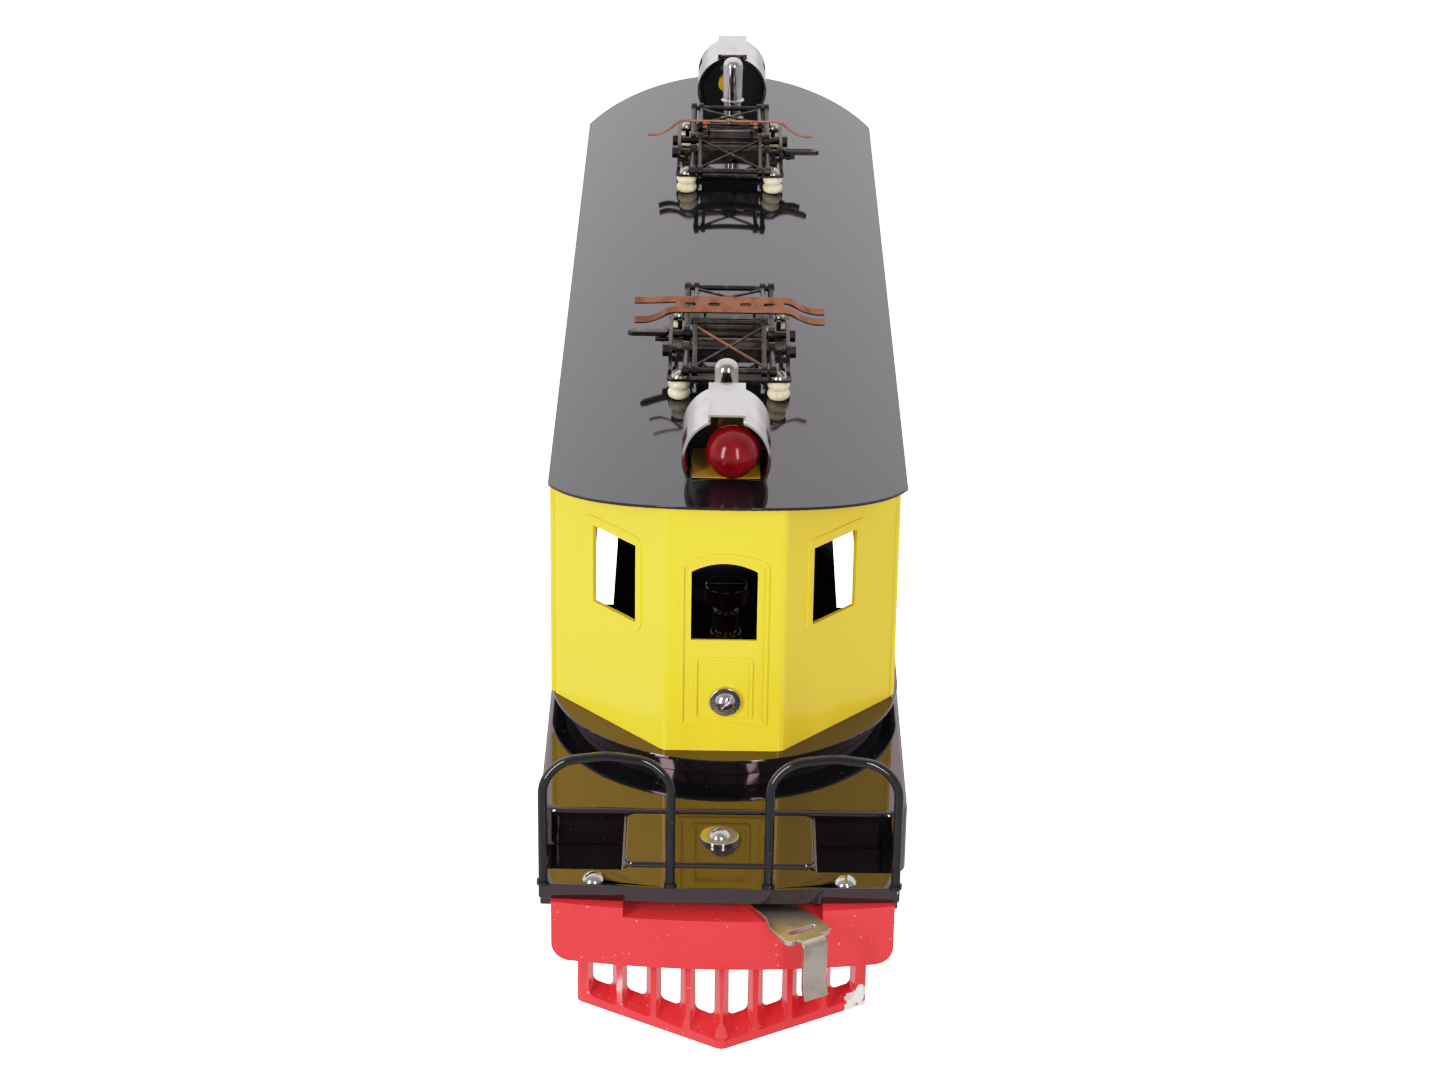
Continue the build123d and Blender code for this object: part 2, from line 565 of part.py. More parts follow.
def headlight(lamp_front):
    """The open drum with its vent box, standing astride the roof."""
    y0 = front(lamp_front)
    y1 = y0 + LAMP_LENGTH
    roof_solid = roof_inside(0)
    inner = LAMP_RADIUS - LAMP_SHEET
    drum = rod_y(0, LAMP_Z, LAMP_RADIUS, y0, y1)
    drum += block(-VENT_HALF_WIDTH, VENT_HALF_WIDTH, y0 + 0.6, y1 - 0.3, LAMP_Z, VENT_TOP_Z)
    drum -= rod_y(0, LAMP_Z, inner, y0 - 1, y1 + 1)
    drum -= block(-VENT_HALF_WIDTH + LAMP_SHEET, VENT_HALF_WIDTH - LAMP_SHEET, y0 - 1, y1 + 1,
                  LAMP_Z, VENT_TOP_Z - LAMP_SHEET)
    for side in (-1, 1):
        drum -= block(side * 8, side * 14, y0 + 2.4, y0 + 10.0, LAMP_Z - 3.0, LAMP_Z + 5.5)
    return Pos(LAMP_X, 0, 0) * drum - roof_solid


def headlight_windows(lamp_front):
    """The coloured strips behind the drum's two side windows."""
    y0 = front(lamp_front)
    outer = LAMP_RADIUS - LAMP_SHEET - 0.02
    strip = rod_y(0, LAMP_Z, outer, y0 + 1.6, y0 + 10.8) - rod_y(0, LAMP_Z, outer - 0.3, y0, y0 + 12)
    strips = []
    for side in (-1, 1):
        part = strip & block(side * 6, side * 14, y0, y0 + 12, LAMP_Z - 3.8, LAMP_Z + 6.3)
        strips.append(Pos(LAMP_X, 0, 0) * part)
    return strips


def headlight_back(lamp_front):
    """The black disc that closes the drum, a little inside its inner end."""
    y = front(lamp_front) + LAMP_LENGTH - 3.4
    disc = rod_y(LAMP_X, LAMP_Z, LAMP_RADIUS - LAMP_SHEET - 0.05, y, y + 1.0)
    disc -= roof_inside(-0.05)
    return disc - rod_y(BULB_X, BULB_Z, 3.05, y - 1, y + 2)


def bulb(lamp_front):
    """The ball lamp on its screw cap."""
    y = front(lamp_front)
    glass = Pos(BULB_X, y + 1.1, BULB_Z) * Sphere(BULB_RADIUS)
    return glass + rod_y(BULB_X, BULB_Z, 2.6, y + 7.0, y + 17.0)


def bulb_socket(lamp_front):
    """The flanged socket that holds the lamp's cap in the back disc."""
    y = front(lamp_front)
    socket = rod_y(BULB_X, BULB_Z, 3.0, y + 12.0, y + 22.6)
    socket += rod_y(BULB_X, BULB_Z, 4.0, y + 18.4, y + 19.5)
    socket -= rod_y(BULB_X, BULB_Z, 2.65, y + 11, y + 17.1)
    floor_z = roof_z(0) + 0.02
    floor = block(LAMP_X - 8.9, LAMP_X + 8.9, y + 0.4, y + 19.3, floor_z, floor_z + 0.2)
    return [socket, floor]


def whistle():
    """The turned whistle behind a headlight: foot, lower bowl, ring and domed bell."""
    y = front(-WHISTLE_PLACE)
    base = roof_z(0) + 0.02
    x = WHISTLE_X
    bell = rod_z(x, y, 3.25, base + 7, base + WHISTLE_HEIGHT)
    bell = fillet(bell.edges().sort_by(Axis.Z)[-1], 2.6)
    body = bell + rod_z(x, y, 2.9, base, base + 7)
    body += rod_z(x, y, 3.7, base, base + 1.0)
    return body + rod_z(x, y, 3.9, base + 6.4, base + 7.2)


# ---------------------------------------------------------------- pantographs
INSULATOR_HEIGHT = 5.4
LUG_THICKNESS = 0.7
SIDE_RAIL_X = 16.4
LOWER_X = 11.9
KNEE_ROD_HALF = 12.9
UPPER_X = 9.5
HEAD_X = 6.9
BARREL_HALF = 9.6
BARREL_RADIUS = 3.4
SHAFT_RADIUS = 1.1
WALL_Y = 10.6
WALL_HALF = 14.6


def insulator_foot():
    """Height of the flat that an insulator stands on: the roof at its inner edge."""
    return roof_z(INSULATOR_X - 2.3) + 0.02


def insulator_top():
    return insulator_foot() + INSULATOR_HEIGHT


def insulator(x, y):
    """A two-bead insulator with a hole for its screw."""
    bead = INSULATOR_HEIGHT / 2
    profile = make_face([
        Line((1.1, 0), (2.3, 0)),
        ThreePointArc((2.3, 0), (3.15, bead / 2), (2.35, bead)),
        ThreePointArc((2.35, bead), (3.1, bead * 1.5), (2.3, 2 * bead)),
        Line((2.3, 2 * bead), (1.1, 2 * bead)),
        Line((1.1, 2 * bead), (1.1, 0)),
    ])
    return Pos(x, y, insulator_foot()) * revolve(Plane.XZ * profile, axis=Axis.Z)


def insulator_screw(x, y, turn):
    top = insulator_top() + LUG_THICKNESS
    head = Pos(x, y, top) * Rot(0, 0, turn) * slotted_dome(2.35, 2.0, 0.6)
    return head + rod_z(x, y, 1.0, insulator_foot() + 0.3, top + 0.3)


def corners():
    return [(sx * INSULATOR_X, sy * INSULATOR_Y) for sx in (-1, 1) for sy in (-1, 1)]


def base_wall(sy):
    """The upright wall outside a barrel, slotted where the lower arms pass."""
    y = sy * WALL_Y
    wall = block(-WALL_HALF, WALL_HALF, y - 0.4, y + 0.4, insulator_top(), BASE_PIVOT_Z + 2.4)
    for sx in (-1, 1):
        x = sx * LOWER_X
        wall -= block(x - 1.4, x + 1.4, y - 1, y + 1, BASE_PIVOT_Z - 1.2, BASE_PIVOT_Z + 4)
        wall += block(sx * (WALL_HALF - 0.2), sx * SIDE_RAIL_X, y - 0.4, y + 0.4, insulator_top(), BASE_PIVOT_Z)
    return wall - rod_y(-1.5, BASE_PIVOT_Z - 1.4, 0.9, y - 1, y + 1)


def pantograph_base(lever_y):
    """Cross bars on the insulators, and a walled box with rails that carry the shafts."""
    z = insulator_top()
    base = None
    for sy in (-1, 1):
        y = sy * INSULATOR_Y
        bar = extrude(Pos(0, y, z) * RectangleRounded(2 * SIDE_RAIL_X + 1.6, 5.0, 1.6), amount=LUG_THICKNESS)
        base = bar if base is None else base + bar
    for sx in (-1, 1):
        x = sx * SIDE_RAIL_X
        base += block(x - 0.5, x + 0.5, -INSULATOR_Y + 2.5, INSULATOR_Y - 2.5, z, z + 1.6)
        cheek = block(x - 0.5, x + 0.5, -11.5, 11.5, BASE_PIVOT_Z - 3.6, BASE_PIVOT_Z + 3.0)
        base += fillet(cheek.edges().filter_by(Axis.X), 2.0)
        for sy in (-1, 1):
            base -= rod_x(sy * BASE_PIVOT_Y, BASE_PIVOT_Z, SHAFT_RADIUS + 0.02, x - 2, x + 2)
        base += base_wall(sx)
    lug_x = -SIDE_RAIL_X
    base += block(lug_x - 4.4, lug_x + 0.3, lever_y - 1.8, lever_y + 1.8, LEVER_Z - 1.3, LEVER_Z - 0.4)
    base -= rod_z(lug_x - 2.4, lever_y, 0.75, LEVER_Z - 3, LEVER_Z + 2)
    for x, y in corners():
        base -= rod_z(x, y, 1.05, z - 1, z + 1.0)
    return base


def barrel(sy):
    """One shaft with its spring barrel and the nuts outside the side rails."""
    y, z = sy * BASE_PIVOT_Y, BASE_PIVOT_Z
    shaft = rod_x(y, z, SHAFT_RADIUS, -SIDE_RAIL_X - 1.2, SIDE_RAIL_X + 1.2)
    shaft += rod_x(y, z, BARREL_RADIUS, -BARREL_HALF, BARREL_HALF)
    for sx in (-1, 1):
        inner = sx * (SIDE_RAIL_X + 0.55)
        hexagon = Plane(origin=(inner, y, z), x_dir=(0, 1, 0), z_dir=(sx, 0, 0)) * RegularPolygon(2.0, 6)
        shaft += extrude(hexagon, amount=1.7)
    return shaft


def arm_point(fold, sy, reach):
    """A point of a lower arm, reach millimetres from its shaft."""
    angle = radians(fold)
    return sy * (BASE_PIVOT_Y + reach * cos(angle)), BASE_PIVOT_Z + reach * sin(angle)


def lower_arm(fold, sy):
    """A lower frame: two channels from the shaft's bosses to the knee rod."""
    knee_y, knee_z = arm_point(fold, sy, ARM_LENGTH)
    start_y, start_z = arm_point(fold, sy, 2.0)
    arm = rod_x(knee_y, knee_z, ROD_RADIUS, -KNEE_ROD_HALF, KNEE_ROD_HALF)
    for sx in (-1, 1):
        x = sx * LOWER_X
        arm += wire_between((x, start_y, start_z), (x, knee_y, knee_z), 0.9)
        arm += rod_x(knee_y, knee_z, 1.6, x - 0.9, x + 0.9)
        arm += rod_x(sy * BASE_PIVOT_Y, BASE_PIVOT_Z, 2.4, x - 0.9, x + 0.9)
        arm -= rod_x(sy * BASE_PIVOT_Y, BASE_PIVOT_Z, SHAFT_RADIUS + RUNNING, x - 2, x + 2)
    return arm


def upper_point(fold, sy, reach):
    """A point of an upper arm, reach millimetres from its knee."""
    knee_y, knee_z = arm_point(fold, sy, ARM_LENGTH)
    angle = radians(fold)
    return knee_y - sy * reach * cos(angle), knee_z + reach * sin(angle)


def upper_arm(fold, sy, top_clearance):
    """An upper frame: two rods and crossed braces from the knee to the head's pin."""
    eye = 1.55
    arm = None
    ends = {}
    for sx in (-1, 1):
        x = sx * UPPER_X
        low = upper_point(fold, sy, 0)
        high = upper_point(fold, sy, ARM_LENGTH)
        side = wire_between((x, *upper_point(fold, sy, 1.2)), (x, *upper_point(fold, sy, ARM_LENGTH - 1.2)), 0.65)
        side += rod_x(*low, eye, x - 0.8, x + 0.8)
        side += rod_x(*high, eye, x - 0.8, x + 0.8)
        side -= rod_x(*low, ROD_RADIUS + RUNNING, x - 2, x + 2)
        side -= rod_x(*high, HEAD_PIN_RADIUS + top_clearance, x - 2, x + 2)
        ends[sx] = [(x, *upper_point(fold, sy, 2.2)), (x, *upper_point(fold, sy, ARM_LENGTH - 2.4))]
        arm = side if arm is None else arm + side
    for sx in (-1, 1):
        arm += wire_between(ends[sx][0], ends[-sx][1], 0.42)
    return arm


def head_z(fold):
    return BASE_PIVOT_Z + 2 * ARM_LENGTH * sin(radians(fold))


def pantograph_head(fold):
    """The carrier between the upper frames: two pins, two links and the shoe's rod."""
    z = head_z(fold)
    head = None
    for sy in (-1, 1):
        pin = rod_x(sy * BASE_PIVOT_Y, z, HEAD_PIN_RADIUS, -HEAD_PIN_HALF, HEAD_PIN_HALF)
        head = pin if head is None else head + pin
    for sx in (-1, 1):
        x = sx * HEAD_X
        reach, peak = BASE_PIVOT_Y + 1.1, z + HEAD_RISE + 0.7
        link = [(-reach, z - 0.9), (reach, z - 0.9), (reach, z + 0.7), (1.6, z + 0.7),
                (0.9, peak), (-0.9, peak), (-1.6, z + 0.7), (-reach, z + 0.7)]
        face = make_face(Polyline(*[(x - 0.35, y, height) for y, height in link], close=True))
        head += extrude(face, amount=0.7, dir=(1, 0, 0))
    return head + rod_x(0, z + HEAD_RISE, 0.6, -10.0, 10.0)


SHOE_HALF_LENGTH = 26.6
SHOE_HALF_FLAT = 14.0
SHOE_HALF_WIDTH = 2.9
SHOE_DROP = 4.6
SHOE_THICKNESS = 0.6
SHOE_LIFT = 1.5


def shoe_prong(sx, sy, drop):
    """One of the two horns at an end of the contact strip, drooping by drop."""
    under, over = [], []
    middle = (SHOE_HALF_FLAT + SHOE_HALF_LENGTH - 2.5) / 2
    for x, fall in ((SHOE_HALF_FLAT, 0), (middle, drop / 2), (SHOE_HALF_LENGTH - 2.5, drop), (SHOE_HALF_LENGTH, drop)):
        under.append((sx * x, SHOE_LIFT - fall))
        over.append((sx * x, SHOE_LIFT - fall + SHOE_THICKNESS))
    outline = [
        Spline(*under, tangents=[(sx, 0), (sx, 0)]),
        Line(under[-1], over[-1]),
        Spline(*over[::-1], tangents=[(-sx, 0), (-sx, 0)]),
        Line(over[0], under[0]),
    ]
    start, end = sorted((sy * 0.8, sy * SHOE_HALF_WIDTH))
    return extrude(Plane.XZ.offset(-end) * make_face(outline), amount=end - start)


def shoe(fold, tilt, bent):
    """The contact strip with forked, drooping horns, on two clips; a bent one has a straight horn."""
    z = head_z(fold) + HEAD_RISE
    strip = block(-SHOE_HALF_FLAT - 1, SHOE_HALF_FLAT + 1, -SHOE_HALF_WIDTH, SHOE_HALF_WIDTH,
                  SHOE_LIFT, SHOE_LIFT + SHOE_THICKNESS)
    for sx in (-1, 1):
        for sy in (-1, 1):
            straight = bent and sx < 0 and sy > 0
            strip += shoe_prong(sx, sy, 0.6 if straight else SHOE_DROP)
    for x in (-11.0, -4.4, 4.4, 11.0):
        strip -= extrude(Pos(x, 0, 0) * SlotOverall(3.2, 1.1), amount=4)
    for x in (-HEAD_X - 1.3, HEAD_X + 1.3):
        strip += rod_x(0, 0, 1.25, x - 0.7, x + 0.7) + block(x - 0.7, x + 0.7, -1.0, 1.0, 0.4, SHOE_LIFT + 0.1)
        strip -= rod_x(0, 0, 0.6 + RUNNING, x - 2, x + 2)
    return Pos(0, 0, z) * Rot(tilt, 0, 0) * strip


def release_lever(lever_y):
    """The flat lever on its upright pin, standing out from the side rail."""
    pin_x = -SIDE_RAIL_X - 2.4
    plan = Pos(pin_x - 4.0, 0) * SlotOverall(11.6, 3.0)
    lever = extrude(Pos(0, lever_y, LEVER_Z) * plan, amount=1.3)
    lever += rod_z(pin_x, lever_y, 0.7, LEVER_Z - 2.0, LEVER_Z + 0.1)
    return lever


# ---------------------------------------------------------------- running gear
def wheel(side, flange_radius, spokes):
    """One cast wheel on the X axis, its flange towards the middle of the track."""
    tread = flange_radius - FLANGE_DEPTH
    inner, outer = side * WHEEL_INNER_X, side * WHEEL_OUTER_X
    body = rod_x(0, 0, tread, inner, outer)
    body += rod_x(0, 0, flange_radius, inner, inner + side * 1.3)
    body -= rod_x(0, 0, tread - 2.0, outer - side * 2.4, outer + side)
    body += rod_x(0, 0, 4.2, outer - side * 3, outer - side * 0.4)
    hole_radius = (tread - 2.0 - 4.2) / 2
    middle = (tread - 2.0 + 4.2) / 2
    for i in range(spokes):
        angle = 2 * pi * i / spokes
        across = 2 * middle * sin(pi / spokes) - 1.9
        hole = Rectangle(hole_radius * 1.7, across)
        hole = fillet(hole.vertices(), min(hole_radius, across) * 0.4)
        cutter = Plane(origin=(inner - side, middle * cos(angle), middle * sin(angle)),
                       x_dir=(0, cos(angle), sin(angle)), z_dir=(side, 0, 0)) * hole
        body -= extrude(cutter, amount=12)
    return body


def wheelset(y, flange_radius, spokes, axle_radius):
    """Two wheels on their axle."""
    pair = rod_x(0, 0, axle_radius, -WHEEL_OUTER_X - 0.6, WHEEL_OUTER_X + 0.6)
    for side in (-1, 1):
        pair += wheel(side, flange_radius, spokes)
    return Pos(0, y, flange_radius) * pair


TRUCK_PLATE_Z = (28.0, 30.0)
TRUCK_SIDE_X = (21.3, 22.8)
AXLE_RADIUS = 1.75
PIN_RADIUS = 2.5


def truck_frame():
    """A four-wheel truck's inside frame: bolster plate, two sides and end stretchers."""
    y = -TRUCK_PLACE
    low, high = TRUCK_PLATE_Z
    reach = TRUCK_HALF_BASE + 4.5
    frame = extrude(Pos(0, y, low) * RectangleRounded(2 * TRUCK_SIDE_X[1], 30, 3), amount=high - low)
    for side in (-1, 1):
        inner, outer = side * TRUCK_SIDE_X[0], side * TRUCK_SIDE_X[1]
        cheek = block(inner, outer, y - reach, y + reach, 11.0, 21.0)
        cheek = fillet(cheek.edges().filter_by(Axis.X), 4.0)
        frame += cheek + block(inner, outer, y - 11, y + 11, 16.0, low + 0.5)
        for sy in (-1, 1):
            frame -= rod_x(y + sy * TRUCK_HALF_BASE, TRUCK_WHEEL_RADIUS, AXLE_RADIUS + RUNNING,
                           inner - side * 2, outer + side * 2)
    for sy in (-1, 1):
        frame += rod_x(y + sy * 14.5, 13.5, 1.4, -TRUCK_SIDE_X[0] - 0.5, TRUCK_SIDE_X[0] + 0.5)
    return frame - rod_z(0, y, PIN_RADIUS + RUNNING, 20, 40)


def truck_pin():
    """The shouldered pin under the deck that a truck swivels on."""
    y = -TRUCK_PLACE
    pin = rod_z(0, y, PIN_RADIUS, TRUCK_PLATE_Z[0] - 3.0, DECK_Z - SHEET)
    pin += rod_z(0, y, 5.0, TRUCK_PLATE_Z[1] + 0.3, DECK_Z - SHEET)
    return pin + rod_z(0, y, 4.5, TRUCK_PLATE_Z[0] - 3.0, TRUCK_PLATE_Z[0] - 0.3)


def gear(teeth, phase, x0, x1, bore):
    """An involute spur gear on the X axis; phase turns a tooth's centre from +Y."""
    pitch = GEAR_MODULE * teeth / 2
    base = pitch * cos(radians(PRESSURE_ANGLE))
    tip = pitch + 0.9 * GEAR_MODULE
    root = pitch - 1.25 * GEAR_MODULE
    slack = 0.09

    def spread(radius):
        """Half the tooth's angle at a radius outside the base circle."""
        at = sqrt(max((radius / base) ** 2 - 1, 0))
        pitch_at = tan(radians(PRESSURE_ANGLE))
        involute = at - atan2(at, 1)
        pitch_involute = pitch_at - radians(PRESSURE_ANGLE)
        return pi / (2 * teeth) - slack / pitch + pitch_involute - involute

    outline = []
    for i in range(teeth):
        middle = radians(phase) + 2 * pi * i / teeth
        low = max(base, root)
        levels = [root, low + 0.05, pitch - 0.2, pitch + 0.35, tip]
        flank = [(radius, spread(max(radius, base))) for radius in levels]
        outline += [(radius, middle - half) for radius, half in flank]
        outline += [(radius, middle + half) for radius, half in reversed(flank)]
    points = [(x0, radius * cos(angle), radius * sin(angle)) for radius, angle in outline]
    face = make_face(Polyline(*points, close=True))
    body = extrude(face, amount=abs(x1 - x0), dir=(1, 0, 0))
    return body - rod_x(0, 0, bore, x0 - 1, x1 + 1)


GEAR_X = (20.6, 23.4)
MOTOR_PLATE_X = (17.6, 19.2)
DRIVER_AXLE_RADIUS = 2.4
ARMATURE_Z = DRIVER_RADIUS + GEAR_MODULE * (IDLER_TEETH + PINION_TEETH) / 2
ARMATURE_RADIUS = 13.5


def driver_wheelset(sy):
    """Geared driving wheels: the gear's tooth points at the idler."""
    pair = wheelset(0, DRIVER_RADIUS, 9, DRIVER_AXLE_RADIUS)
    phase = 0 if sy < 0 else 180
    pair += Pos(0, 0, DRIVER_RADIUS) * gear(DRIVER_TEETH, phase, *GEAR_X, 1.0)
    pair += Pos(0, 0, DRIVER_RADIUS) * rod_x(0, 0, 5.0, GEAR_X[1] - 0.2, WHEEL_INNER_X + 0.2)
    return Pos(0, sy * DRIVER_Y, 0) * pair


def idler():
    half_pitch = 180.0 / IDLER_TEETH
    body = gear(IDLER_TEETH, half_pitch, *GEAR_X, 1.6 + RUNNING)
    return Pos(0, 0, DRIVER_RADIUS) * body


def armature():
    """The slotted armature with its commutator, shaft and pinion."""
    core = rod_x(0, 0, ARMATURE_RADIUS, -8.5, 8.5)
    for i in range(3):
        angle = 360 / 3 * i + 90
        core -= Rot(angle, 0, 0) * block(-9, 9, -1.6, 1.6, 7.0, 16)
    shaft = rod_x(0, 0, 1.9, -21.5, 24.4)
    commutator = rod_x(0, 0, 6.0, -15.5, -11.5)
    pinion = gear(PINION_TEETH, -90, *GEAR_X, 1.0)
    return Pos(0, 0, ARMATURE_Z) * (core + shaft + commutator + pinion)


def motor_frame():
    """Two side plates, the field block round the armature, and the mounting ears."""
    frame = None
    for side in (-1, 1):
        inner, outer = side * MOTOR_PLATE_X[0], side * MOTOR_PLATE_X[1]
        plate = block(inner, outer, -44, 44, 10, 45.6)
        plate = fillet(plate.edges().filter_by(Axis.X), 6.0)
        plate += block(inner, outer, -17, 17, 40, 60)
        plate += block(inner, outer, -55.5, 55.5, 38.5, 45.6)
        plate += block(outer, side * 32, -55.5, -45, 44.4, 45.6)
        plate += block(outer, side * 32, 45, 55.5, 44.4, 45.6)
        plate -= rod_x(0, ARMATURE_Z, 1.9 + RUNNING, inner - side * 2, outer + side * 2)
        for sy in (-1, 1):
            plate -= rod_x(sy * DRIVER_Y, DRIVER_RADIUS, DRIVER_AXLE_RADIUS + RUNNING,
                           inner - side * 2, outer + side * 2)
        frame = plate if frame is None else frame + plate
    field = block(-9.5, 9.5, -20, 20, 27.0, 59.5)
    field = fillet(field.edges().filter_by(Axis.X), 5.0)
    field -= rod_x(0, ARMATURE_Z, ARMATURE_RADIUS + 0.5, -12, 12)
    for sy in (-1, 1):
        field += rod_x(sy * 16.6, 31.0, 2.0, -MOTOR_PLATE_X[0] - 0.3, MOTOR_PLATE_X[0] + 0.3)
        frame += rod_x(sy * 40.0, 40.0, 2.0, -MOTOR_PLATE_X[0] - 0.3, MOTOR_PLATE_X[0] + 0.3)
        frame += rod_x(sy * 40.0, 18.6, 2.0, -MOTOR_PLATE_X[0] - 0.3, MOTOR_PLATE_X[0] + 0.3)
    frame += field
    return frame + rod_x(0, DRIVER_RADIUS, 1.6, MOTOR_PLATE_X[1] - 0.3, GEAR_X[1] + 0.5)


PICKUP_PLACE = 62.0
PICKUP_RADIUS = 6.0


def pickup_bracket():
    """The insulated arm under the motor that carries a centre-rail roller."""
    y = -PICKUP_PLACE
    z = PICKUP_RADIUS + 0.7
    bracket = block(-9, 9, y - 3, -34, 12.9, 14.1)
    for side in (-1, 1):
        bracket += block(side * 6.4, side * 7.6, y - 3, y + 3, z - 3, 13.4)
    bracket += rod_x(y, z, 1.5, -8.6, 8.6)
    bracket += block(-MOTOR_PLATE_X[0] + 0.0, MOTOR_PLATE_X[0] - 0.0, -36.5, -33.5, 12.4, 14.4)
    return bracket


def pickup_roller():
    z = PICKUP_RADIUS + 0.7
    roller = rod_x(-PICKUP_PLACE, z, PICKUP_RADIUS, -5.6, 5.6)
    return roller - rod_x(-PICKUP_PLACE, z, 1.5 + RUNNING, -8, 8)


# ---------------------------------------------------------------- every node
def write_body():
    save("roof", roof())
    save("cab_side_left", cab_side(-1))
    save("cab_side_right", cab_side(1))
    save("cab_end_front", cab_end(CAB_OFFSET_X))
    save("cab_end_rear", turned(cab_end(-CAB_OFFSET_X)))
    save("cab_screws", *cab_screw(), *[turned(piece) for piece in cab_screw()])
    save("cab_studs", cab_stud(), turned(cab_stud()))
    save("floor_plate", floor_plate())
    save("main_frame", main_frame())


def write_ends():
    rails = [handrail(-1), handrail(1)]
    screws = [pilot_screw(-1), pilot_screw(1)]
    save("end_platform_front", end_platform())
    save("end_platform_rear", turned(end_platform()))
    save("handrails_front", *rails)
    save("handrails_rear", *[turned(rail) for rail in rails])
    save("pilot_front", pilot())
    save("pilot_rear", turned(pilot()))
    save("pilot_screws", *screws, *[turned(screw) for screw in screws])
    save("coupler_front", coupler())
    save("coupler_rear", turned(coupler()))
    save("coupler_posts", *coupler_post(), *[turned(piece) for piece in coupler_post()])


def write_lights():
    at_front, at_rear = LAMP_FRONT_AT_FRONT_END, LAMP_FRONT_AT_REAR_END
    save("headlight_front", headlight(at_front))
    save("headlight_rear", turned(headlight(at_rear)))
    save("headlight_backs", headlight_back(at_front), turned(headlight_back(at_rear)))
    windows = headlight_windows(at_front) + [turned(strip) for strip in headlight_windows(at_rear)]
    save("headlight_windows", *windows)
    save("lamp_bulbs", bulb(at_front), turned(bulb(at_rear)))
    sockets = bulb_socket(at_front) + [turned(piece) for piece in bulb_socket(at_rear)]
    save("lamp_sockets", *sockets)
    save("whistles", whistle(), turned(whistle()))


def write_pantographs():
    insulators, screws, barrels = [], [], []
    for end in ("front", "rear"):
        is_front = end == "front"
        fold = FRONT_FOLD if is_front else REAR_FOLD
        tilt = FRONT_SHOE_TILT if is_front else REAR_SHOE_TILT
        lever_y = FRONT_LEVER_Y if is_front else REAR_LEVER_Y
        place = Pos(0, front(-PANTOGRAPH_PLACE), 0)
        if not is_front:
            place = Rot(0, 0, 180) * place
        for turn, (x, y) in enumerate(corners()):
            insulators.append(place * insulator(x, y))
            screws.append(place * insulator_screw(x, y, 25 + 55 * turn))
        barrels += [place * barrel(-1), place * barrel(1)]
        save(f"pantograph_{end}_base", place * pantograph_base(lever_y))
        save(f"pantograph_{end}_lower_outer", place * lower_arm(fold, -1))
        save(f"pantograph_{end}_lower_inner", place * lower_arm(fold, 1))
        save(f"pantograph_{end}_upper_outer", place * upper_arm(fold, -1, RUNNING))
        save(f"pantograph_{end}_upper_inner", place * upper_arm(fold, 1, 0.25))
        save(f"pantograph_{end}_head", place * pantograph_head(fold))
        save(f"pantograph_{end}_shoe", place * shoe(fold, tilt, is_front))
        save(f"pantograph_{end}_lever", place * release_lever(lever_y))
    save("insulators", *insulators)
    save("insulator_screws", *screws)
    save("pantograph_barrels", *barrels)


def write_running_gear():
    save("truck_frame_front", truck_frame())
    save("truck_frame_rear", turned(truck_frame()))
    save("truck_pins", truck_pin(), turned(truck_pin()))
    for number, sy in ((1, -1), (2, 1)):
        axle = wheelset(-TRUCK_PLACE + sy * TRUCK_HALF_BASE, TRUCK_WHEEL_RADIUS, 0, AXLE_RADIUS)
        save(f"truck_front_wheelset_{number}", axle)
        save(f"truck_rear_wheelset_{number}", turned(axle))
    save("motor_frame", motor_frame())
    save("armature", armature())
    save("idler_gear", idler())
    save("driver_wheelset_front", driver_wheelset(-1))
    save("driver_wheelset_rear", driver_wheelset(1))
    save("pickup_brackets", pickup_bracket(), turned(pickup_bracket()))
    save("pickup_roller_front", pickup_roller())
    save("pickup_roller_rear", turned(pickup_roller()))


os.makedirs("parts", exist_ok=True)
write_body()
write_ends()
write_lights()
write_pantographs()
write_running_gear()
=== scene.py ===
"""The looks of the model electric locomotive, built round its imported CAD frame.

Every length is in metres here, in the frame of the CAD model: +Z up, the front end towards -Y.
"""
import json
import math

import bmesh
import bpy
from mathutils import Matrix, Vector

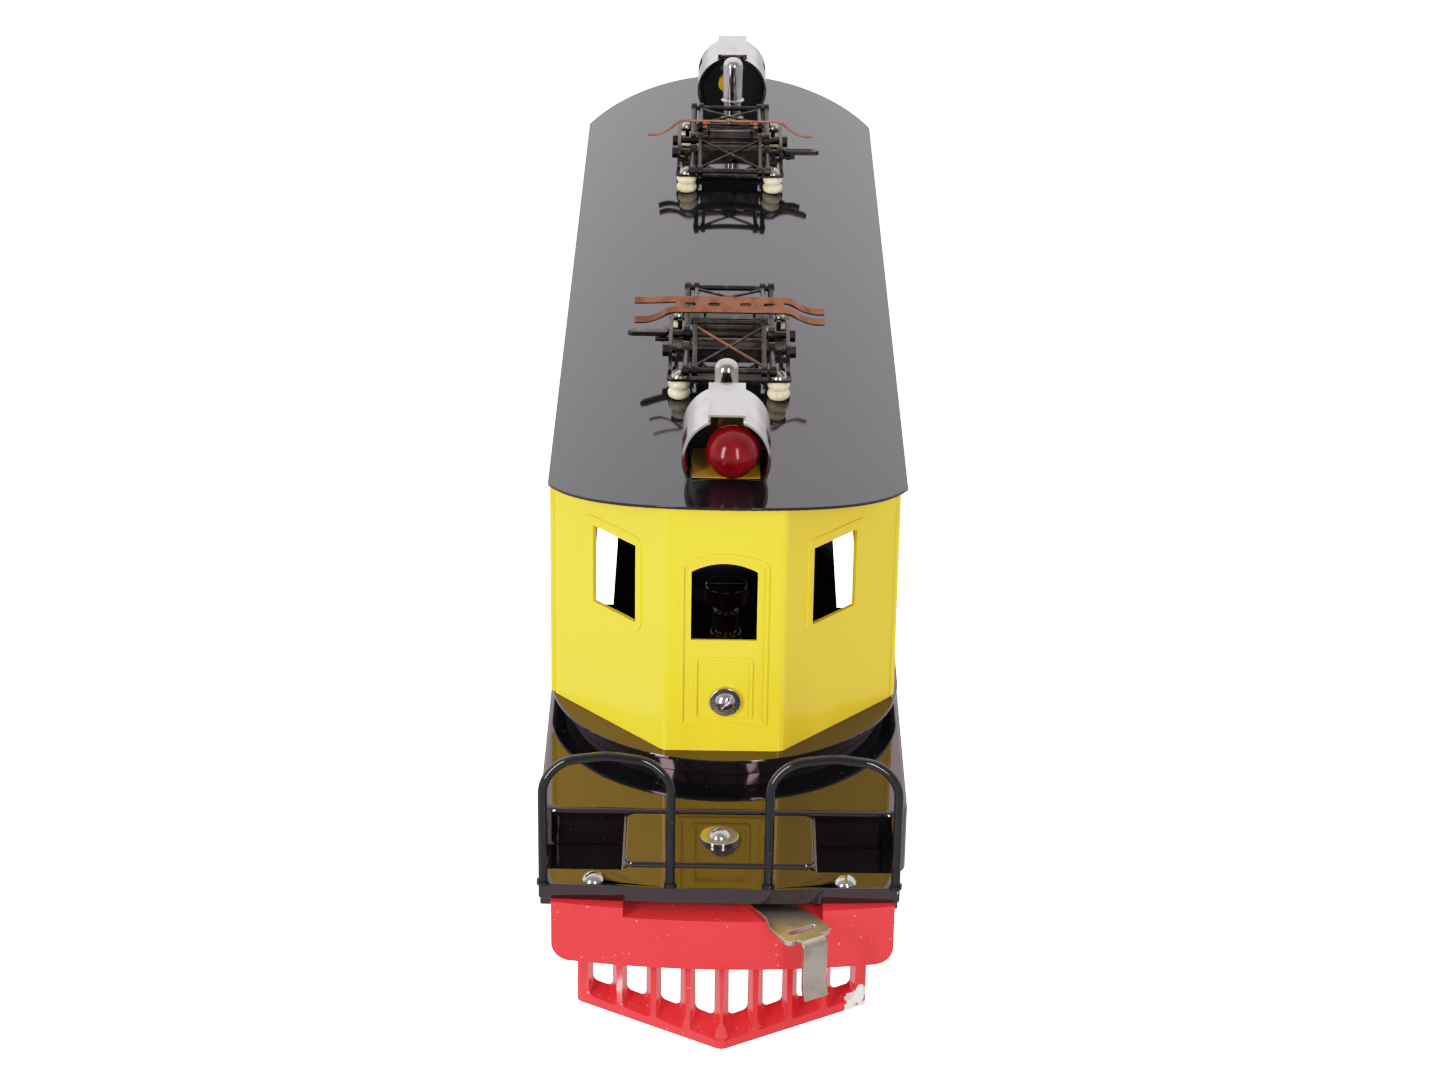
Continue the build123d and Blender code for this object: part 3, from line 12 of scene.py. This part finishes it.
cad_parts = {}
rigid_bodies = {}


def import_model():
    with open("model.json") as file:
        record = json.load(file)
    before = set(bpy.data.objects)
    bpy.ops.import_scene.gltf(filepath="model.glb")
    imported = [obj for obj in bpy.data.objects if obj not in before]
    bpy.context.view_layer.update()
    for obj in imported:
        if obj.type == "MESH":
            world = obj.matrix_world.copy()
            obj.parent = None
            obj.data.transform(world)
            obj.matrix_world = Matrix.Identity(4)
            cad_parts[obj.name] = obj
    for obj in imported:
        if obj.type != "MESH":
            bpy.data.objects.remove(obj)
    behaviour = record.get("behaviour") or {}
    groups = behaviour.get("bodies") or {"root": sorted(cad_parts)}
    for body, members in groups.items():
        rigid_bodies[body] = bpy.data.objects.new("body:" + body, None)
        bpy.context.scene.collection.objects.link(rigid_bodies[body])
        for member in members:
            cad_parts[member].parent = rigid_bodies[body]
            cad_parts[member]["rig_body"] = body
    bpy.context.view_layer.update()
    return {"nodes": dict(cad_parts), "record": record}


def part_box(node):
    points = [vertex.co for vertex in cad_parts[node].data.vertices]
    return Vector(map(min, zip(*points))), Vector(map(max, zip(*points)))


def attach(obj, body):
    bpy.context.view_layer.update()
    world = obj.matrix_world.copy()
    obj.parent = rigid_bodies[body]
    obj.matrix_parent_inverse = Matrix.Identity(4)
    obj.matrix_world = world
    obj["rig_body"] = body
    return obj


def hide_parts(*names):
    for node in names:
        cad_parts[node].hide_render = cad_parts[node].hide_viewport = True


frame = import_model()
MM = 0.001


# ---------------------------------------------------------------- camera, floor and light
CAMERA_PLACE = (-4.25 * MM, -1012.3 * MM, 498.3 * MM)
CAMERA_PITCH = 25.04
CAMERA_YAW = -0.2
CAMERA_ROLL = 0.9
CAMERA_LENS = 88.44
FLOOR_REACH = 30.0
FLOOR_GLOW = 2.6
TENT_BACK = 1.42
TENT_FRONT = 0.45
TENT_BELOW = 0.75
TENT_SIDE = -0.12
LIT_PLACE = (0, -0.19, 0.08)
BOX_DISTANCE = 1.6
BOX_ELEVATION = 13
KEY_AZIMUTH, KEY_SIZE, KEY_RADIANCE = -43, (0.26, 1.3), 23.0
FILL_AZIMUTH, FILL_SIZE, FILL_RADIANCE = 21, (0.2, 1.3), 19.0
FILM_WHITE = 2.5
FILM_CURVE = (
    (0.0, 0.0), (0.05, 0.045), (0.3, 0.29), (0.6, 0.57),
    (0.9, 0.75), (1.3, 0.87), (1.8, 0.95), (2.5, 1.0),
)


def make_camera():
    camera = bpy.data.objects.new("camera", bpy.data.cameras.new("camera"))
    camera.data.sensor_width = 36.0
    camera.data.lens = CAMERA_LENS
    camera.data.clip_start = 0.05
    camera.data.clip_end = 50.0
    turn = (Matrix.Rotation(math.radians(CAMERA_YAW), 4, "Z")
            @ Matrix.Rotation(math.radians(90 - CAMERA_PITCH), 4, "X")
            @ Matrix.Rotation(math.radians(CAMERA_ROLL), 4, "Z"))
    camera.matrix_world = Matrix.Translation(CAMERA_PLACE) @ turn
    bpy.context.scene.collection.objects.link(camera)
    bpy.context.scene.camera = camera


def make_floor():
    """A white paper floor. It is bright enough to read as white and throws no light of its own."""
    mesh = bpy.data.meshes.new("floor")
    reach = FLOOR_REACH
    corners = [(-reach, -reach, 0), (reach, -reach, 0), (reach, reach, 0), (-reach, reach, 0)]
    mesh.from_pydata(corners, [], [(0, 1, 2, 3)])
    floor = bpy.data.objects.new("floor", mesh)
    bpy.context.scene.collection.objects.link(floor)
    material, tree, shader = nodes_of("floor_paper")
    shader.inputs["Base Color"].default_value = (0.82, 0.82, 0.82, 1)
    shader.inputs["Roughness"].default_value = 0.9
    shader.inputs["Specular IOR Level"].default_value = 0.0
    shader.inputs["Emission Color"].default_value = (1, 1, 1, 1)
    shader.inputs["Emission Strength"].default_value = FLOOR_GLOW
    mesh.materials.append(material)
    floor.visible_diffuse = False
    floor.visible_glossy = False
    floor.visible_transmission = False


def soft_box(name, azimuth, size, radiance):
    """A tall soft box round the front end; azimuth is measured from the camera's side, to the right."""
    turn, rise = math.radians(azimuth), math.radians(BOX_ELEVATION)
    away = Vector((math.sin(turn) * math.cos(rise), -math.cos(turn) * math.cos(rise), math.sin(rise)))
    light = bpy.data.lights.new(name, "AREA")
    light.shape = "RECTANGLE"
    light.size, light.size_y = size
    light.energy = radiance * math.pi * size[0] * size[1]
    lamp = bpy.data.objects.new(name, light)
    lamp.location = Vector(LIT_PLACE) + away * BOX_DISTANCE
    lamp.rotation_euler = (-away).to_track_quat("-Z", "Y").to_euler()
    bpy.context.scene.collection.objects.link(lamp)


def make_world():
    """A light tent: bright above and behind, dimmer towards the camera and below."""
    world = bpy.data.worlds.new("studio")
    bpy.context.scene.world = world
    world.use_nodes = True
    tree = world.node_tree
    place = tree.nodes.new("ShaderNodeTexCoord")
    split = tree.nodes.new("ShaderNodeSeparateXYZ")
    tree.links.new(place.outputs["Generated"], split.inputs[0])
    depth = tree.nodes.new("ShaderNodeMapRange")
    depth.interpolation_type = "SMOOTHSTEP"
    depth.inputs["From Min"].default_value = -0.5
    depth.inputs["From Max"].default_value = 0.35
    depth.inputs["To Min"].default_value = TENT_FRONT
    depth.inputs["To Max"].default_value = TENT_BACK
    tree.links.new(split.outputs["Y"], depth.inputs["Value"])
    height = tree.nodes.new("ShaderNodeMapRange")
    height.interpolation_type = "SMOOTHSTEP"
    height.inputs["From Min"].default_value = -0.12
    height.inputs["From Max"].default_value = 0.10
    tree.links.new(split.outputs["Z"], height.inputs["Value"])
    above = tree.nodes.new("ShaderNodeMix")
    above.inputs[2].default_value = TENT_BELOW
    tree.links.new(height.outputs["Result"], above.inputs[0])
    tree.links.new(depth.outputs["Result"], above.inputs[3])
    side = tree.nodes.new("ShaderNodeMath")
    side.operation = "MULTIPLY_ADD"
    side.inputs[1].default_value = TENT_SIDE
    side.inputs[2].default_value = 1.0
    tree.links.new(split.outputs["X"], side.inputs[0])
    total = tree.nodes.new("ShaderNodeMath")
    total.operation = "MULTIPLY"
    tree.links.new(above.outputs[0], total.inputs[0])
    tree.links.new(side.outputs[0], total.inputs[1])
    sky = tree.nodes["Background"]
    sky.inputs["Color"].default_value = (1.0, 0.975, 1.0, 1)
    tree.links.new(total.outputs[0], sky.inputs["Strength"])


def make_film():
    """The picture's tone curve: straight in the shadows, with a soft shoulder up to white."""
    view = bpy.context.scene.view_settings
    view.view_transform = "Standard"
    view.use_curve_mapping = True
    mapping = view.curve_mapping
    mapping.white_level = (FILM_WHITE,) * 3
    curve = mapping.curves[3]
    while len(curve.points) < len(FILM_CURVE):
        curve.points.new(0.5, 0.5)
    for point, (light, shown) in zip(curve.points, FILM_CURVE):
        point.location = (light / FILM_WHITE, shown)
    mapping.update()


def make_light():
    make_world()
    soft_box("key", KEY_AZIMUTH, KEY_SIZE, KEY_RADIANCE)
    soft_box("fill", FILL_AZIMUTH, FILL_SIZE, FILL_RADIANCE)
    make_film()


# ---------------------------------------------------------------- materials
CHIP_EDGE = 0.35
CHIP_GRAIN = 320.0
CHIP_LEVEL = 0.52 * 0.72
CHIPS = (((37, -238, 6), 7.0), ((33, -241, 12), 3.5))
BARE_CASTING = (0.80, 0.79, 0.76)
BLACK_PAINT = ((0.006, 0.006, 0.008), (0.004, 0.004, 0.005), (0.03, 0.09), 0.006)
BLACK_DUST = (0.10, 0.08, 0.05)
RED_PAINT = ((0.76, 0.040, 0.045), (0.66, 0.028, 0.034), (0.16, 0.32), 0.03)
RED_DUST = (0.80, 0.35, 0.35)
DECK_NODES = ("floor_plate", "main_frame", "end_platform_front", "end_platform_rear")


def nodes_of(name):
    material = bpy.data.materials.new(name)
    material.use_nodes = True
    tree = material.node_tree
    return material, tree, tree.nodes["Principled BSDF"]


def object_noise(tree, scale, detail=3.0, stretch=(1, 1, 1)):
    """Noise in the piece's own metres; scale is in bumps per metre."""
    place = tree.nodes.new("ShaderNodeTexCoord")
    mapping = tree.nodes.new("ShaderNodeMapping")
    mapping.inputs["Scale"].default_value = stretch
    noise = tree.nodes.new("ShaderNodeTexNoise")
    noise.inputs["Scale"].default_value = scale
    noise.inputs["Detail"].default_value = detail
    tree.links.new(place.outputs["Object"], mapping.inputs["Vector"])
    tree.links.new(mapping.outputs["Vector"], noise.inputs["Vector"])
    return noise.outputs["Fac"]


def ramp(tree, source, stops):
    """A colour ramp; stops is a list of (place, colour)."""
    node = tree.nodes.new("ShaderNodeValToRGB")
    elements = node.color_ramp.elements
    while len(elements) < len(stops):
        elements.new(0.5)
    for element, (place, colour) in zip(elements, stops):
        element.position = place
        element.color = (*colour, 1) if len(colour) == 3 else colour
    tree.links.new(source, node.inputs["Fac"])
    return node.outputs["Color"]


def between(tree, source, low, high):
    """Maps a 0 to 1 value to low to high."""
    node = tree.nodes.new("ShaderNodeMapRange")
    node.inputs["To Min"].default_value = low
    node.inputs["To Max"].default_value = high
    tree.links.new(source, node.inputs["Value"])
    return node.outputs["Result"]


def mix(tree, mask, first, second):
    node = tree.nodes.new("ShaderNodeMix")
    node.data_type = "RGBA"
    tree.links.new(mask, node.inputs["Factor"])
    for socket, value in (("A", first), ("B", second)):
        target = next(s for s in node.inputs if s.name == socket and s.type == "RGBA")
        if isinstance(value, tuple):
            target.default_value = (*value, 1)
        else:
            tree.links.new(value, target)
    return next(s for s in node.outputs if s.type == "RGBA")


def bump(tree, shader, source, distance):
    node = tree.nodes.new("ShaderNodeBump")
    node.inputs["Distance"].default_value = distance
    node.inputs["Strength"].default_value = 1.0
    tree.links.new(source, node.inputs["Height"])
    tree.links.new(node.outputs["Normal"], shader.inputs["Normal"])


def enamel(name, colour, shade, rough=(0.05, 0.12), ripple=0.004, fleck=None):
    """Gloss enamel: slightly uneven colour, orange peel, and dust flecks where given."""
    material, tree, shader = nodes_of(name)
    tone = ramp(tree, object_noise(tree, 22.0, 4), [(0.3, shade), (0.7, colour)])
    if fleck:
        specks = ramp(tree, object_noise(tree, 1300.0, 1), [(0.755, (0, 0, 0)), (0.785, (1, 1, 1))])
        tone = mix(tree, specks, tone, fleck)
    tree.links.new(tone, shader.inputs["Base Color"])
    tree.links.new(between(tree, object_noise(tree, 60.0, 5), *rough), shader.inputs["Roughness"])
    bump(tree, shader, object_noise(tree, 500.0, 2), ripple * MM)
    return material


def metal(name, colour, tarnish, rough=(0.08, 0.25), scratch=0.01, spread=(0.45, 0.7), scale=140.0):
    """Plated or bare metal: tarnish in patches, fine scratches."""
    material, tree, shader = nodes_of(name)
    shader.inputs["Metallic"].default_value = 1.0
    patches = object_noise(tree, scale, 6)
    tone = ramp(tree, patches, [(spread[0], colour), (spread[1], tarnish)])
    tree.links.new(tone, shader.inputs["Base Color"])
    tree.links.new(between(tree, object_noise(tree, 90.0, 8), *rough), shader.inputs["Roughness"])
    bump(tree, shader, object_noise(tree, 1500.0, 3, (1, 0.15, 1)), scratch * MM)
    return material


def ceramic(name):
    material, tree, shader = nodes_of(name)
    tone = ramp(tree, object_noise(tree, 300.0, 4), [(0.3, (0.66, 0.56, 0.33)), (0.7, (0.86, 0.80, 0.58))])
    tree.links.new(tone, shader.inputs["Base Color"])
    tree.links.new(between(tree, object_noise(tree, 500.0, 3), 0.15, 0.35), shader.inputs["Roughness"])
    shader.inputs["Subsurface Weight"].default_value = 0.15
    shader.inputs["Subsurface Scale"].default_value = 0.001
    bump(tree, shader, object_noise(tree, 900.0, 3), 0.02 * MM)
    return material


def red_glass(name):
    """Ball lamp dipped in red lacquer."""
    material, tree, shader = nodes_of(name)
    tone = ramp(tree, object_noise(tree, 160.0, 3), [(0.35, (0.11, 0.001, 0.003)), (0.7, (0.20, 0.003, 0.006))])
    tree.links.new(tone, shader.inputs["Base Color"])
    tree.links.new(between(tree, object_noise(tree, 200.0, 3), 0.12, 0.2), shader.inputs["Roughness"])
    shader.inputs["Specular IOR Level"].default_value = 0.3
    bump(tree, shader, object_noise(tree, 350.0, 2), 0.01 * MM)
    return material


def nearness(tree, centre, reach):
    """1 within reach millimetres of a place on the piece, falling to 0."""
    place = tree.nodes.new("ShaderNodeTexCoord")
    gap = tree.nodes.new("ShaderNodeVectorMath")
    gap.operation = "DISTANCE"
    gap.inputs[1].default_value = tuple(c * MM for c in centre)
    tree.links.new(place.outputs["Object"], gap.inputs[0])
    fall = tree.nodes.new("ShaderNodeMapRange")
    fall.inputs["From Min"].default_value = reach * (1 - CHIP_EDGE) * MM
    fall.inputs["From Max"].default_value = reach * (1 + CHIP_EDGE) * MM
    fall.inputs["To Min"].default_value = 1.0
    fall.inputs["To Max"].default_value = 0.0
    tree.links.new(gap.outputs["Value"], fall.inputs["Value"])
    return fall.outputs["Result"]


def combine(tree, operation, first, second):
    node = tree.nodes.new("ShaderNodeMath")
    node.operation = operation
    node.use_clamp = True
    for socket, value in zip(node.inputs, (first, second)):
        if isinstance(value, float):
            socket.default_value = value
        else:
            tree.links.new(value, socket)
    return node.outputs[0]


def chip(material, places, under):
    """Shows an under-colour through the paint round the given (centre, reach) places."""
    tree = material.node_tree
    shader = tree.nodes["Principled BSDF"]
    zone = None
    for centre, reach in places:
        here = nearness(tree, centre, reach)
        zone = here if zone is None else combine(tree, "MAXIMUM", zone, here)
    grain = object_noise(tree, CHIP_GRAIN, 5)
    worn = combine(tree, "GREATER_THAN", combine(tree, "MULTIPLY", zone, grain), CHIP_LEVEL)
    paint = shader.inputs["Base Color"].links[0].from_socket
    tree.links.new(mix(tree, worn, paint, under), shader.inputs["Base Color"])
    return material


def make_materials():
    blackened = ((0.055, 0.047, 0.042), (0.14, 0.11, 0.085))
    made = {
        "roof_black": enamel("roof_black", (0.010, 0.009, 0.012), (0.006, 0.006, 0.008), (0.03, 0.08), 0.003,
                             fleck=(0.05, 0.05, 0.05)),
        "cab_yellow": enamel("cab_yellow", (0.90, 0.63, 0.035), (0.86, 0.60, 0.030), (0.08, 0.16), 0.004),
        "cab_inside": enamel("cab_inside", (0.24, 0.15, 0.11), (0.16, 0.10, 0.075), (0.12, 0.3), 0.01),
        "frame_black": enamel("frame_black", *BLACK_PAINT, fleck=BLACK_DUST),
        "pilot_red": enamel("pilot_red", *RED_PAINT, fleck=RED_DUST),
        "nickel": metal("nickel", (0.50, 0.485, 0.47), (0.38, 0.35, 0.32), (0.10, 0.22), 0.004),
        "worn_nickel": metal("worn_nickel", (0.56, 0.52, 0.45), (0.40, 0.35, 0.27), (0.24, 0.42), 0.02),
        "blackened_steel": metal("blackened_steel", *blackened, (0.2, 0.45), 0.03),
        "disc_black": enamel("disc_black", (0.012, 0.012, 0.013), (0.006, 0.006, 0.006), (0.05, 0.2), 0.01),
        "red_celluloid": enamel("red_celluloid", (0.20, 0.004, 0.006), (0.12, 0.002, 0.004), (0.1, 0.2), 0.01),
        "red_glass": red_glass("red_glass"),
        "brass": metal("brass", (0.80, 0.52, 0.12), (0.50, 0.30, 0.07), (0.2, 0.4), 0.01),
        "cream_ceramic": ceramic("cream_ceramic"),
        "pantograph_black": metal("pantograph_black", (0.040, 0.036, 0.036), (0.16, 0.12, 0.085), (0.22, 0.45),
                                  0.03, spread=(0.5, 0.8), scale=300.0),
        "copper": metal("copper", (0.30, 0.135, 0.080), (0.17, 0.075, 0.050), (0.35, 0.55), 0.03, scale=250.0),
        "truck_black": enamel("truck_black", (0.012, 0.012, 0.012), (0.02, 0.018, 0.016), (0.25, 0.5), 0.03),
        "wheel_iron": metal("wheel_iron", (0.30, 0.29, 0.28), (0.12, 0.10, 0.09), (0.3, 0.55), 0.03),
        "roller_steel": metal("roller_steel", (0.55, 0.54, 0.52), (0.35, 0.30, 0.25), (0.2, 0.4), 0.02),
        "steel": metal("steel", (0.52, 0.52, 0.52), (0.35, 0.33, 0.31), (0.2, 0.4), 0.02),
        "fibre_board": enamel("fibre_board", (0.16, 0.05, 0.03), (0.10, 0.03, 0.02), (0.5, 0.8), 0.05),
    }
    deck = enamel("deck_black", *BLACK_PAINT, fleck=BLACK_DUST)
    gloss = deck.node_tree.nodes["Principled BSDF"]
    gloss.inputs["IOR"].default_value = 1.85
    gloss.inputs["Specular Tint"].default_value = (1.0, 0.76, 0.78, 1)
    for node in DECK_NODES:
        made[node] = deck
    sheen = made["roof_black"].node_tree.nodes["Principled BSDF"]
    sheen.inputs["Specular Tint"].default_value = (1.0, 0.94, 1.0, 1)
    sheen.inputs["IOR"].default_value = 1.52
    made["lamp_sockets"] = enamel("gold_lacquer", (0.62, 0.34, 0.02), (0.50, 0.26, 0.015), (0.2, 0.4), 0.02)
    chipped = enamel("pilot_red_chipped", *RED_PAINT, fleck=RED_DUST)
    made["pilot_front"] = chip(chipped, CHIPS, BARE_CASTING)
    made["cab_studs"] = metal("stud_steel", (0.20, 0.18, 0.16), (0.08, 0.07, 0.06), (0.10, 0.25), 0.01)
    made["insulator_screws"] = metal("screw_nickel", (0.42, 0.39, 0.35), (0.22, 0.19, 0.15), (0.15, 0.35), 0.01)
    return made


# ---------------------------------------------------------------- pieces made from the frame
def link(name, mesh, body, replaced):
    """Puts a piece in the scene on its body, in place of the CAD node it stands for."""
    piece = bpy.data.objects.new(name, mesh)
    bpy.context.scene.collection.objects.link(piece)
    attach(piece, body)
    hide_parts(replaced)
    return piece


def apply_modifiers(piece):
    graph = bpy.context.evaluated_depsgraph_get()
    done = bpy.data.meshes.new_from_object(piece.evaluated_get(graph))
    piece.modifiers.clear()
    old = piece.data
    piece.data = done
    bpy.data.meshes.remove(old)


SHARP_ANGLE = 32.0
FLAT_ANGLE = 0.4
WELD = 2e-6
FOLD_SEGMENTS = 5
FOLD_WIDTH = 1.2


def finish_edges(piece, width, segments):
    """Rounds a piece's sharp edges by width millimetres and smooths the rest."""
    bevel = piece.modifiers.new("edges", "BEVEL")
    bevel.width = width * MM
    bevel.segments = segments
    bevel.limit_method = "ANGLE"
    bevel.angle_limit = math.radians(SHARP_ANGLE)
    bevel.use_clamp_overlap = True
    weigh = piece.modifiers.new("normals", "WEIGHTED_NORMAL")
    weigh.keep_sharp = True
    apply_modifiers(piece)


def clean_copy(node, folds):
    """A node's mesh, welded and, unless it is pierced, with flat areas joined; folds picks edges to round."""
    source = frame["nodes"][node].data
    work = bmesh.new()
    work.from_mesh(source)
    bmesh.ops.remove_doubles(work, verts=work.verts, dist=WELD)
    if node not in PIERCED:
        bmesh.ops.dissolve_limit(work, angle_limit=math.radians(FLAT_ANGLE), verts=work.verts, edges=work.edges)
    if folds:
        chosen = [edge for edge in work.edges if folds(edge)]
        bmesh.ops.bevel(work, geom=chosen, offset=FOLD_WIDTH * MM, segments=FOLD_SEGMENTS,
                        affect="EDGES", profile=0.5)
    for face in work.faces:
        face.smooth = True
    mesh = bpy.data.meshes.new(node + "_finish")
    work.to_mesh(mesh)
    work.free()
    mesh.set_sharp_from_angle(angle=math.radians(SHARP_ANGLE))
    return mesh


def refine(node, slot, width, segments=2, folds=None, second=None, chooser=None):
    """A finished piece that stands for a CAD node of the same shape, with its edges rounded.

    second is a material for the faces that chooser picks.
    """
    mesh = clean_copy(node, folds)
    mesh.materials.clear()
    mesh.materials.append(MATERIALS.get(node, MATERIALS[slot]))
    if second:
        mesh.materials.append(second)
        for face in mesh.polygons:
            if chooser(face):
                face.material_index = 1
    body = frame["nodes"][node]["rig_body"]
    piece = link(node + "_finish", mesh, body, node)
    if width:
        finish_edges(piece, width, segments)


def slot_of(node):
    for row in frame["record"]["subparts"]:
        if row["node"] == node:
            return row["material_slot"]
    raise KeyError(node)


EDGE_WIDTHS = {
    "cab_side_left": 0.25, "cab_side_right": 0.25, "cab_end_front": 0.25, "cab_end_rear": 0.25, "roof": 0.3,
    "main_frame": 0.3, "floor_plate": 0.45, "end_platform_front": 0.5, "end_platform_rear": 0.5,
    "pilot_front": 0.5, "pilot_rear": 0.5, "coupler_front": 0.3, "coupler_rear": 0.3,
    "cab_screws": 0.15, "pilot_screws": 0.15, "insulator_screws": 0.12, "coupler_posts": 0.15,
    "motor_frame": 0.3, "truck_frame_front": 0.3, "truck_frame_rear": 0.3, "cab_studs": 0.3,
    "headlight_front": 0.12, "headlight_rear": 0.12, "whistles": 0.25,
    "pantograph_front_shoe": 0.15, "pantograph_rear_shoe": 0.15,
    "pantograph_front_lever": 0.4, "pantograph_rear_lever": 0.4,
    "pantograph_front_base": 0.2, "pantograph_rear_base": 0.2,
}
CAB_CENTRE = Vector((-0.6 * MM, 0, 0))
PIERCED = DECK_NODES
FOLD_X = (13.5 * MM, 16.5 * MM)
FOLD_HEIGHT = 20 * MM
BRACE_HALF = 9.5 * MM


def is_fold(edge):
    """The upright folds between the three panels of an end bay."""
    a, b = edge.verts
    upright = abs(a.co.z - b.co.z) > FOLD_HEIGHT
    at_fold = all(FOLD_X[0] < abs(v.co.x - CAB_CENTRE.x) < FOLD_X[1] for v in edge.verts)
    return upright and at_fold


def faces_inward(face):
    """Whether a cab face looks into the cab."""
    out = face.center - CAB_CENTRE
    return face.normal.x * out.x + face.normal.y * out.y < -0.001 * MM and abs(face.normal.z) < 0.9


def on_copper_brace(face):
    """Whether a face belongs to the brace that has lost its black finish."""
    return distance_to_line(face.center, *COPPER_BRACE) < 0.6 * MM


def distance_to_line(point, start, end):
    run = end - start
    along = max(0.0, min(1.0, (point - start).dot(run) / run.length_squared))
    return (point - start - run * along).length


def copper_brace():
    """Ends of the brace from the left of the head to the right of the front knee rod."""
    low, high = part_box("pantograph_front_upper_outer")
    start = Vector((-BRACE_HALF, high.y - 4.4 * MM, high.z - 1.9 * MM))
    end = Vector((BRACE_HALF, low.y + 4.2 * MM, low.z + 1.8 * MM))
    return start, end


COPPER_BRACE = copper_brace()


def finish_nodes():
    for node in frame["nodes"]:
        slot = slot_of(node)
        width = EDGE_WIDTHS.get(node, 0.0)
        if node.startswith("cab_end"):
            refine(node, slot, width, 3, is_fold, MATERIALS["cab_inside"], faces_inward)
        elif node.startswith("cab_side"):
            refine(node, slot, width, second=MATERIALS["cab_inside"], chooser=faces_inward)
        elif node == "pantograph_front_upper_outer":
            refine(node, slot, width, second=MATERIALS["copper"], chooser=on_copper_brace)
        elif width:
            refine(node, slot, width)
        else:
            mesh = frame["nodes"][node].data
            mesh.materials.clear()
            mesh.materials.append(MATERIALS.get(node, MATERIALS[slot]))


make_camera()
make_floor()
make_light()
MATERIALS = make_materials()
finish_nodes()
